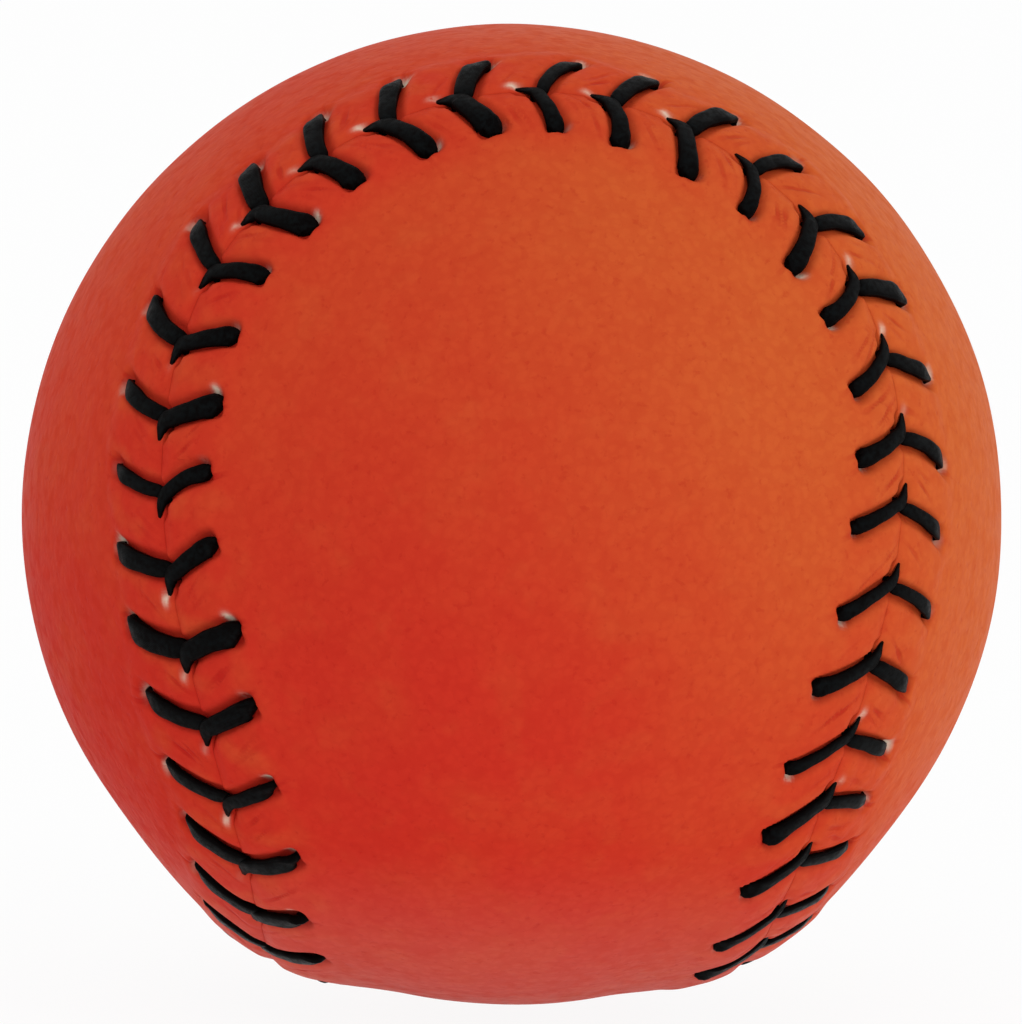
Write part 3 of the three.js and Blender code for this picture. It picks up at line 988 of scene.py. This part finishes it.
print(len(stitch_route(0, FRONT)), "points on a front leg,", len(stitch_route(0, SIDE)), "on a side leg")

# %% All the points of a thread
UNDER_WIDTH = 0.9 * LEG_WIDTH
PRESSED_IN, UNDERSIDE = 0.25, (0.87, 0.92)


def thread_points(first_panel):
    """Places, widths and heights, from stitch to stitch, with every other leg on each panel."""
    rows = []
    for i in range(STITCH_COUNT):
        panel = first_panel if i % 2 == 0 else -first_panel
        here = stitch_route(i, panel)
        low = -on_ball(legs[panel]["hole"][i], panel * legs[panel]["inset"][i])[2]
        pressed = PRESSED_IN * smooth(low, *UNDERSIDE)
        rows += [(along, panel * inset, height - pressed, wide) for along, inset, height, wide in here]
        if i + 1 < STITCH_COUNT:
            other = legs[-panel]
            inset = other["inset"][i + 1]
            for share in (0.3, 0.7):
                along = here[-1][0] + (other["hole"][i + 1] - here[-1][0]) * share
                rows.append((along, -panel * inset * share, UNDER_DEPTH, UNDER_WIDTH))
    along, offset, height, width = np.array(rows).T
    raised = np.where(offset > 0, ridge(FRONT, np.abs(offset)), ridge(SIDE, np.abs(offset)))
    radius = BALL_RADIUS + raised + height
    return on_ball(along, offset) * radius[:, None], width, height


print(len(thread_points(FRONT)[0]), "points in the first thread")

# %% A smooth line through the points
SEEN_STEP, HIDDEN_STEP = 0.14, 0.6
HIDDEN_BELOW = -1.0


def smooth_route(points, widths, heights):
    """A centripetal Catmull-Rom line through the points, in short steps where it is seen."""
    data = np.column_stack([points, widths])
    data = np.vstack([2 * data[0] - data[1], data, 2 * data[-1] - data[-2]])
    gaps = np.linalg.norm(np.diff(data[:, :3], axis=0), axis=1)
    knots = np.concatenate([[0], np.cumsum(gaps**0.5)])
    fine = []
    for k in range(1, len(data) - 2):
        hidden = max(heights[k - 1], heights[k]) < HIDDEN_BELOW
        count = max(1, round(gaps[k] / (HIDDEN_STEP if hidden else SEEN_STEP)))
        p, t = data[k - 1 : k + 3], knots[k - 1 : k + 3]
        x = np.linspace(t[1], t[2], count, endpoint=False)[:, None]

        def blend(a, b, m, n):
            return (t[n] - x) / (t[n] - t[m]) * a + (x - t[m]) / (t[n] - t[m]) * b

        a = [blend(p[n], p[n + 1], n, n + 1) for n in range(3)]
        b = [blend(a[n], a[n + 1], n, n + 2) for n in range(2)]
        fine.append(blend(b[0], b[1], 1, 2))
    return np.vstack([*fine, data[-2]])


print(f"routes run in steps of about {SEEN_STEP} mm where they are seen")

# %% The flat side of the thread
FLATTENING = 0.35


def square_to(vector, way):
    """The part of a vector that stands square to a way."""
    return vector - way * (vector @ way)


def flat_side_up(points):
    """For each point, the way the flat of the thread faces: out of the ball where it lies flat."""
    heading = unit(np.gradient(points, axis=0))
    outward = unit(points)
    up = unit(square_to(outward[0], heading[0]))
    ups = []
    for way, out in zip(heading, outward):
        up = unit(square_to(up, way))
        flat = square_to(out, way)
        flat = flat if flat @ up > 0 else -flat
        up = unit(up + FLATTENING * flat)
        ups.append(up)
    return np.array(ups)


def route_mesh(name, route):
    """A line of points, each with its width and the way its flat side faces."""
    points, widths = route[:, :3], route[:, 3]
    length = np.linalg.norm(np.diff(points, axis=0), axis=1).sum()
    mesh = bpy.data.meshes.new(name)
    edges = np.column_stack([np.arange(len(points) - 1), np.arange(1, len(points))])
    mesh.from_pydata((points * MM).tolist(), edges.tolist(), [])
    mesh.attributes.new("thread_width", "FLOAT", "POINT").data.foreach_set("value", widths * MM)
    ups = mesh.attributes.new("flat_side", "FLOAT_VECTOR", "POINT")
    ups.data.foreach_set("vector", flat_side_up(points).ravel())
    print(f"{name}: {length:.0f} mm long in {len(points)} points")
    return mesh


print("route helpers ready")

# %% [markdown]
# ## Thread: from a line to a cord
# A curve with a bevel would make a round wire of one width. Geometry Nodes sweep a flattened
# section along the route instead. The section turns to lie flat on the leather and takes its width
# from the route. Then shallow grooves wind round it, one for each ply that is twisted into the
# cord. The same tree serves the yarn further on, with other sizes.

# %% Helpers for Geometry Nodes


def new_tree(name, sizes):
    """A tree with a named input for each size and one for the finish."""
    tree = bpy.data.node_groups.new(name, "GeometryNodeTree")
    sockets = tree.interface
    sockets.new_socket(name="Geometry", in_out="INPUT", socket_type="NodeSocketGeometry")
    for label, value in sizes.items():
        made = sockets.new_socket(name=label, in_out="INPUT", socket_type="NodeSocketFloat")
        made.default_value = value
    sockets.new_socket(name="Finish", in_out="INPUT", socket_type="NodeSocketMaterial")
    sockets.new_socket(name="Geometry", in_out="OUTPUT", socket_type="NodeSocketGeometry")
    return tree, tree.nodes.new("NodeGroupInput").outputs


def end_tree(tree, shape, finish):
    """Shades the shape smooth, makes it real, gives it its finish and sends it out."""
    shape = add_node(tree, "GeometryNodeSetShadeSmooth", {"Geometry": shape, "Shade Smooth": True})
    shape = add_node(tree, "GeometryNodeRealizeInstances", {"Geometry": shape.outputs[0]})
    dressed = {"Geometry": shape.outputs[0], "Material": finish}
    shape = add_node(tree, "GeometryNodeSetMaterial", dressed)
    add_node(tree, "NodeGroupOutput", {"Geometry": shape.outputs[0]})


def named(tree, name, kind="FLOAT"):
    return add_node(tree, "GeometryNodeInputNamedAttribute", {"Name": name}, data_type=kind).outputs[0]


def stored(tree, shape, name, value):
    """Keeps a value of every point under a name, for later nodes and for the material."""
    inputs = {"Geometry": shape, "Name": name, "Value": value}
    options = {"data_type": "FLOAT", "domain": "POINT"}
    return add_node(tree, "GeometryNodeStoreNamedAttribute", inputs, **options).outputs[0]


def pushed_out(tree, shape, distance):
    """Moves every point of the shape along its normal."""
    out = add_node(tree, "GeometryNodeInputNormal").outputs[0]
    inputs = {"Geometry": shape, "Offset": scaled(tree, out, distance)}
    return add_node(tree, "GeometryNodeSetPosition", inputs).outputs[0]


print("tree helpers ready")

# %% From a tree to a piece


def grown(name, mesh, tree, **sizes):
    """Runs a tree on a mesh and keeps the result as a plain mesh object."""
    seed = bpy.data.objects.new(name + "_route", mesh)
    bpy.context.collection.objects.link(seed)
    modifier = seed.modifiers.new("grow", "NODES")
    modifier.node_group = tree
    for socket in tree.interface.items_tree:
        key = socket.name.replace(" ", "_").lower()
        if socket.in_out == "INPUT" and key in sizes:
            modifier[socket.identifier] = sizes[key]
    seen = seed.evaluated_get(bpy.context.evaluated_depsgraph_get())
    made = bpy.data.meshes.new_from_object(seen)
    made.name = name
    seed.modifiers.remove(modifier)
    bpy.data.objects.remove(seed)
    piece = bpy.data.objects.new(name, made)
    bpy.context.collection.objects.link(piece)
    print(f"{name}: {len(made.polygons)} faces")
    return piece


print("pieces can be grown")

# %% Cord tree
CORD_SIZES = {"Flatness": 0.44, "Squareness": 0.55, "Plies": 3.0, "Lay": 5 * MM, "Groove": 0.03 * MM}
CORD_SIDES = 12
GROOVE_LEVEL = 0.7


def cord_section(tree, given):
    """A ring that is flattened and a little squared, with the way round it stored."""
    circle = add_node(tree, "GeometryNodeCurvePrimitiveCircle", {"Resolution": CORD_SIDES, "Radius": 1.0})
    place = add_node(tree, "GeometryNodeInputPosition").outputs[0]
    place = add_node(tree, "ShaderNodeSeparateXYZ", {0: place}).outputs

    def squared(value):
        size = calculate(tree, "POWER", calculate(tree, "ABSOLUTE", value), given["Squareness"])
        return times(tree, calculate(tree, "SIGN", value), size)

    thick = times(tree, squared(place["Y"]), times(tree, given["Flatness"], -1.0))
    section = add_node(tree, "ShaderNodeCombineXYZ", {"X": thick, "Y": squared(place["X"])})
    inputs = {"Geometry": circle.outputs[0], "Position": section.outputs[0]}
    ring = add_node(tree, "GeometryNodeSetPosition", inputs).outputs[0]
    around = add_node(tree, "GeometryNodeSplineParameter").outputs["Factor"]
    return stored(tree, ring, "cord_around", around)


def cord_tree():
    tree, given = new_tree("twisted_cord", CORD_SIZES)
    line = add_node(tree, "GeometryNodeMeshToCurve", {"Mesh": given["Geometry"]}).outputs[0]
    facing = {"Curve": line, "Normal": named(tree, "flat_side", "FLOAT_VECTOR")}
    line = add_node(tree, "GeometryNodeSetCurveNormal", facing, mode="FREE").outputs[0]
    half = times(tree, named(tree, "thread_width"), 0.5)
    line = add_node(tree, "GeometryNodeSetCurveRadius", {"Curve": line, "Radius": half}).outputs[0]
    run = add_node(tree, "GeometryNodeSplineParameter").outputs["Length"]
    line = stored(tree, line, "cord_along", run)
    sweep = {"Curve": line, "Profile Curve": cord_section(tree, given), "Fill Caps": True, "Scale": half}
    cord = add_node(tree, "GeometryNodeCurveToMesh", sweep).outputs[0]

    turns = calculate(tree, "DIVIDE", named(tree, "cord_along"), given["Lay"])
    phase = times(tree, minus(tree, named(tree, "cord_around"), turns), given["Plies"])
    wave = calculate(tree, "ABSOLUTE", calculate(tree, "COSINE", times(tree, phase, math.pi)))
    rise = times(tree, minus(tree, wave, GROOVE_LEVEL), given["Groove"])
    end_tree(tree, pushed_out(tree, cord, rise), given["Finish"])
    return tree


twisted_cord = cord_tree()
print("cord tree:", len(twisted_cord.nodes), "nodes")

# %% [markdown]
# ## Thread: the finish
# Black waxed linen is nearly matt. One plain black would look like plastic, so fine fibres run with the
# twist of the plies, and a dull cool highlight is painted along the crown of the thread, broken up by the
# fibres.

# %% Thread material and pieces
THREAD_BLACK = (0.0014, 0.0007, 0.0007, 1)
THREAD_HIGHLIGHT = (0.0036, 0.0046, 0.0050, 1)

waxed_thread, tree, shader, place = ball_material("waxed_thread", shine=0.020)
fibre = fibres(tree, place, fuzz_size=0.3, strands=26.0, lay_rate=5200.0)
# A painted highlight: the crown of the cord is painted paler and cooler, broken up by the fibre fuzz.
crown = calculate(tree, "SINE", times(tree, attribute(tree, "cord_around"), 2 * math.pi))
crown = calculate(tree, "POWER", calculate(tree, "ABSOLUTE", crown), 2.0)
crown_highlight = times(tree, remap(tree, fibre["Fuzz"], 0.25, 0.70), crown)
colour = mix_colour(tree, crown_highlight, THREAD_BLACK, THREAD_HIGHLIGHT)
roughness = remap(tree, fibre["Fuzz"], 0.3, 0.7, 0.50, 0.32)
dress(tree, shader, colour, roughness, fibre["Height"], strength=0.4, depth=0.03)

threads = []
for name, first_panel in (("waxed_thread_1", FRONT), ("waxed_thread_2", SIDE)):
    route = smooth_route(*thread_points(first_panel))
    threads.append(grown(name, route_mesh(name + "_route", route), twisted_cord, finish=waxed_thread))

# %% [markdown]
# ## The wound core
# Under the leather is a core of yarn wound on a cork centre: thick wool for the bulk, then thin
# cotton for a firm, even skin. Many separate rings would do from far off, but real yarn is one
# line. The winding turns the ball a little with every round, so a circle that tips and swings as
# it goes can follow it. The cord tree makes it yarn, over a plain ball that stands for the turns
# underneath.

# %% Winding route
POINTS_PER_TURN = 48
SWING_RATE = 0.38
SINK_SHARE, SINK_RATE = 0.125, 0.27


def node_radius(node):
    low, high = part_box(node)
    return (high.x - low.x) / 2 / MM


def wound_route(top, yarn, turns):
    """One yarn wound round and round a ball, from its middle out over the whole of it."""
    angle = np.linspace(0, 2 * np.pi * turns, turns * POINTS_PER_TURN)
    tip = np.arccos(1 - angle / angle[-1])
    swing = SWING_RATE * angle
    x, y, z = np.cos(angle), np.sin(angle) * np.cos(tip), np.sin(angle) * np.sin(tip)
    swung_x = x * np.cos(swing) - y * np.sin(swing)
    swung_y = x * np.sin(swing) + y * np.cos(swing)
    sink = yarn * (SINK_SHARE - SINK_SHARE * np.cos(SINK_RATE * angle))
    points = np.column_stack([swung_x, swung_y, z]) * (top - yarn / 2 - sink)[:, None]
    return np.column_stack([points, np.full(len(points), yarn)])


print(f"the core is {2 * node_radius('cotton_winding'):.1f} mm across")

# %% Wound ball tree
YARN_SHAPE = {"Flatness": 0.8, "Squareness": 1.0, "Plies": 2.0}
WOUND_SIZES = {"Backing Radius": 27 * MM, "Hollow Radius": 26 * MM, "Lay": 4 * MM, "Groove": 0.06 * MM}


def plain_ball(tree, radius, detail):
    inputs = {"Radius": radius, "Subdivisions": detail}
    return add_node(tree, "GeometryNodeMeshIcoSphere", inputs).outputs["Mesh"]


def wound_tree():
    tree, given = new_tree("wound_ball", WOUND_SIZES)
    passed = {key: given[key] for key in ("Geometry", "Lay", "Groove", "Finish")}
    yarn = add_node(tree, "GeometryNodeGroup", {**passed, **YARN_SHAPE}, node_tree=twisted_cord)
    backing = plain_ball(tree, given["Backing Radius"], detail=5)
    hollow = plain_ball(tree, given["Hollow Radius"], detail=4)
    hollow = add_node(tree, "GeometryNodeFlipFaces", {"Mesh": hollow}).outputs[0]
    joined = add_node(tree, "GeometryNodeJoinGeometry")
    for part in (hollow, backing, yarn.outputs[0]):
        tree.links.new(part, joined.inputs[0])
    end_tree(tree, joined.outputs[0], given["Finish"])
    return tree


wound_ball = wound_tree()
print("winding tree:", len(wound_ball.nodes), "nodes")

# %% [markdown]
# ## The core's finish
# Cotton is a clean off-white and wool a grey fawn, both fuzzy and quite matt. Hairs of real fibre
# would cost far more than they show here, so each has the twist of its plies as a fine bump, and
# patches where the yarn is a little darker.

# %% Yarn materials and pieces
COTTON_PALE, COTTON_DARK = (0.78, 0.72, 0.60, 1), (0.55, 0.47, 0.35, 1)
WOOL_PALE, WOOL_DARK = (0.47, 0.41, 0.33, 1), (0.28, 0.23, 0.17, 1)
COTTON_YARN, COTTON_TURNS, COTTON_INSIDE, COTTON_WALL = 1.0, 70, 26.9, 0.3
WOOL_YARN, WOOL_TURNS, WOOL_INSIDE = 2.0, 60, 11.3
WOOL_LAY, WOOL_GROOVE, WOOL_SHOWN = 8.0, 0.12, 0.8
BELOW_THREADS = 0.3


def yarn_material(name, pale, dark, strands, lay_rate):
    material, tree, shader, place = ball_material(name, shine=0.15)
    fibre = fibres(tree, place, 0.25, strands, lay_rate)
    colour = mix_colour(tree, patches(tree, place, size=4, low=0.35, high=0.70), pale, dark)
    # The low parts of the twist, the grooves between the plies, are painted darker as painted shade.
    colour = mix_colour(tree, remap(tree, fibre["Height"], 0.1, 0.5, 0.35, 0.0), colour, dark)
    roughness = remap(tree, fibre["Fuzz"], 0.3, 0.7, 0.80, 0.95)
    dress(tree, shader, colour, roughness, fibre["Height"], strength=0.6, depth=0.05)
    return material


cotton = yarn_material("cotton_yarn", COTTON_PALE, COTTON_DARK, strands=12.0, lay_rate=2600.0)
wool = yarn_material("wool_yarn", WOOL_PALE, WOOL_DARK, strands=16.0, lay_rate=1900.0)
cotton_top = node_radius("cotton_winding") - BELOW_THREADS
wool_top = node_radius("wool_winding")
cotton_route = route_mesh("cotton_route", wound_route(cotton_top, COTTON_YARN, COTTON_TURNS))
wool_route = route_mesh("wool_route", wound_route(wool_top, WOOL_YARN, WOOL_TURNS))
cotton_yarn = grown(
    "cotton_yarn_winding", cotton_route, wound_ball,
    backing_radius=(COTTON_INSIDE + COTTON_WALL) * MM, hollow_radius=COTTON_INSIDE * MM, finish=cotton,
)
wool_yarn = grown(
    "wool_yarn_winding", wool_route, wound_ball,
    backing_radius=(wool_top - WOOL_SHOWN * WOOL_YARN) * MM, hollow_radius=WOOL_INSIDE * MM,
    lay=WOOL_LAY * MM, groove=WOOL_GROOVE * MM, finish=wool,
)

# %% [markdown]
# ## The cork centre
# The centre is pressed from cork granules and turned round. Separate granules could be scattered
# and joined, but a turned ball is smooth, so cells of a Voronoi texture stand for them: the tree
# sinks the lines between them a little, and the material gives every granule its own shade, with
# dark pores.

# %% Cork tree
GRANULE = 2.5
CORK_SIZES = {"Radius": 11 * MM, "Granule Scale": per_mm(GRANULE), "Relief": 0.2 * MM}


def cork_tree():
    tree, given = new_tree("granulated_cork", CORK_SIZES)
    place = add_node(tree, "GeometryNodeInputPosition").outputs[0]
    cells = {"Vector": place, "Scale": given["Granule Scale"]}
    border = add_node(tree, "ShaderNodeTexVoronoi", cells, feature="DISTANCE_TO_EDGE")
    sunk = remap(tree, border.outputs["Distance"], 0.0, 0.12, -1.0, 0.0)
    sunk = times(tree, sunk, given["Relief"])
    ball = pushed_out(tree, plain_ball(tree, given["Radius"], detail=6), sunk)
    end_tree(tree, ball, given["Finish"])
    return tree


granulated_cork = cork_tree()
print("cork tree:", len(granulated_cork.nodes), "nodes")

# %% Cork material and piece
CORK_PALE, CORK_DARK = (0.46, 0.27, 0.13, 1), (0.25, 0.12, 0.05, 1)
CORK_PORE = (0.07, 0.03, 0.015, 1)

cork, tree, shader, place = ball_material("granulated_cork", shine=0.2)
granule = add_node(tree, "ShaderNodeTexVoronoi", {"Vector": place, "Scale": per_mm(GRANULE)})
shade = add_node(tree, "ShaderNodeSeparateColor", {"Color": granule.outputs["Color"]}).outputs[0]
pore = patches(tree, place, size=0.5, low=0.60, high=0.66)
colour = stained_and_shaded(tree, mix_colour(tree, shade, CORK_PALE, CORK_DARK), pore, 0.7, CORK_PORE)
roughness = remap(tree, shade, 0.0, 1.0, 0.75, 0.9)
dress(tree, shader, colour, roughness, pore, strength=0.5, depth=0.1, inward=True)
cork_ball = grown(
    "cork_ball", bpy.data.meshes.new("cork_start"), granulated_cork,
    radius=node_radius("cork_centre") * MM, granule_scale=per_mm(GRANULE), finish=cork,
)

# %% [markdown]
# ## Hand the pieces over
# Each piece rides on the ball's one body and stands for its plain solid. It could be done as each piece
# is made, but one loop at the end shows that none is forgotten.

# %% Ride and replace
for piece, node, slot in (
    (front_leather, "front_cover_panel", "cover_leather"),
    (side_leather, "side_cover_panel", "cover_leather"),
    (threads[0], "sewing_thread_1", "waxed_thread"),
    (threads[1], "sewing_thread_2", "waxed_thread"),
    (cotton_yarn, "cotton_winding", "cotton_yarn"),
    (wool_yarn, "wool_winding", "wool_yarn"),
    (cork_ball, "cork_centre", "cork"),
):
    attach(piece, "root")
    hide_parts(node)
    print(piece.name, "stands for", node)
